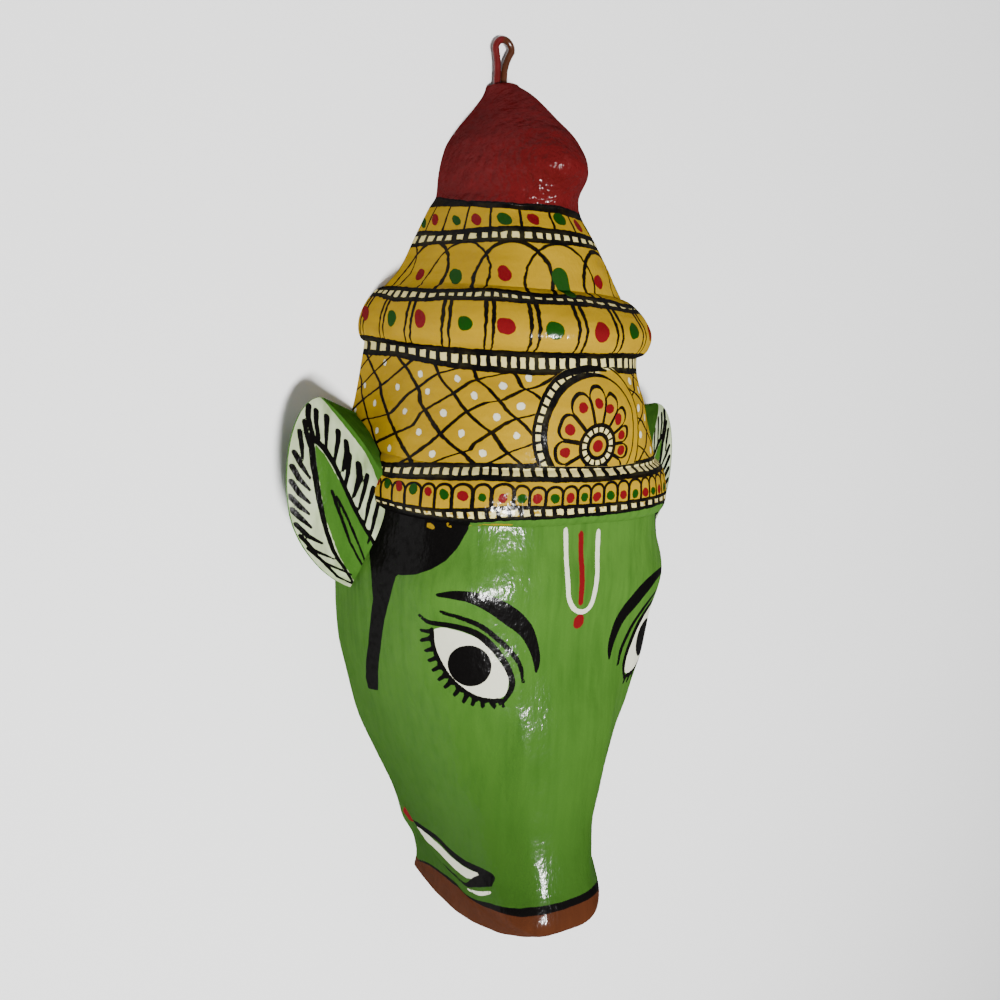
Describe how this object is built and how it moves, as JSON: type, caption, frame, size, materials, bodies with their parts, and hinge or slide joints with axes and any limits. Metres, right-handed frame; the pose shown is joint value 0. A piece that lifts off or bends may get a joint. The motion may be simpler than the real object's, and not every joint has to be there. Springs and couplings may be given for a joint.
{
  "type": "papier-mache animal-faced goddess mask",
  "caption": "Hollow folk papier-mache mask with a long animal muzzle, leaf-shaped ears and a tall crown, lying on its flat back rim, with a wire hanging loop.",
  "frame": {"origin": "centre of the bounding box's underside, in the plane of the flat back rim", "axes": "+Y up the face from the chin to the crown's tip and its loop, +Z out of the face, +X to the right as one looks at the face"},
  "size_m": [0.1532, 0.3064, 0.0784],
  "materials": {
    "mask_shell": "gloss lacquer over paint",
    "hanging_loop": "gloss"
  },
  "bodies": {
    "root": {"mask_shell": "mask_shell", "hanging_loop": "hanging_loop"}
  },
  "joints": []
}
